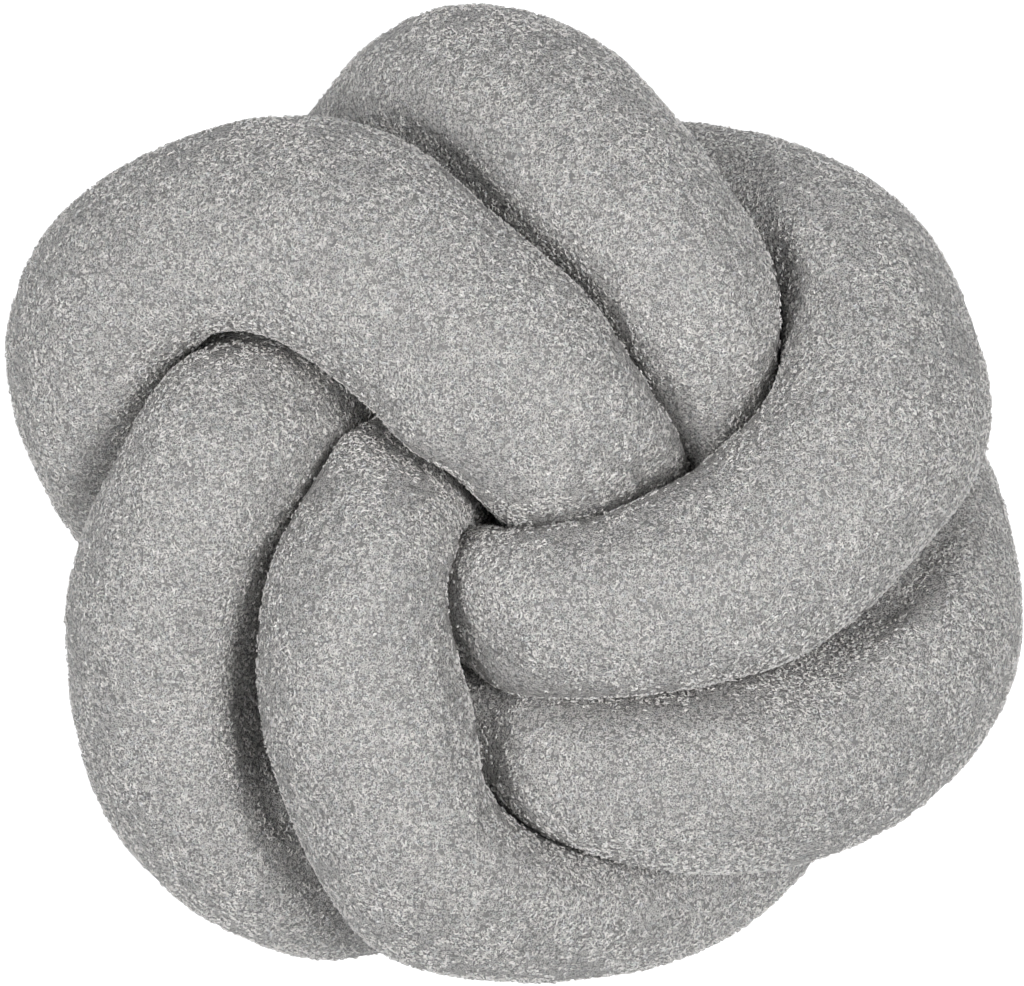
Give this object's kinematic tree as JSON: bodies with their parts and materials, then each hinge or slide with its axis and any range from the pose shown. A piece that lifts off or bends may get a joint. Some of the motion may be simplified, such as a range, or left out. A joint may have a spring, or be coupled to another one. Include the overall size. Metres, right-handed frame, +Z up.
{
  "type": "knotted throw cushion",
  "caption": "Round throw cushion knotted from a stuffed tube of heathered grey boucle cloth, its overlapping lobes swirling about the middle.",
  "frame": {"origin": "on the surface that the cushion lies on, under the middle of its box", "axes": "+Z up, out of the knot's face; +Y towards the lobe that lies at the top of the face; +X to the right of the face"},
  "size_m": [0.403, 0.3848, 0.1994],
  "materials": {
    "boucle_cloth": "heathered light grey boucle, curly loops of pale and mid grey yarn, matt"
  },
  "bodies": {
    "root": {"knotted_tube": "boucle_cloth"}
  },
  "joints": []
}
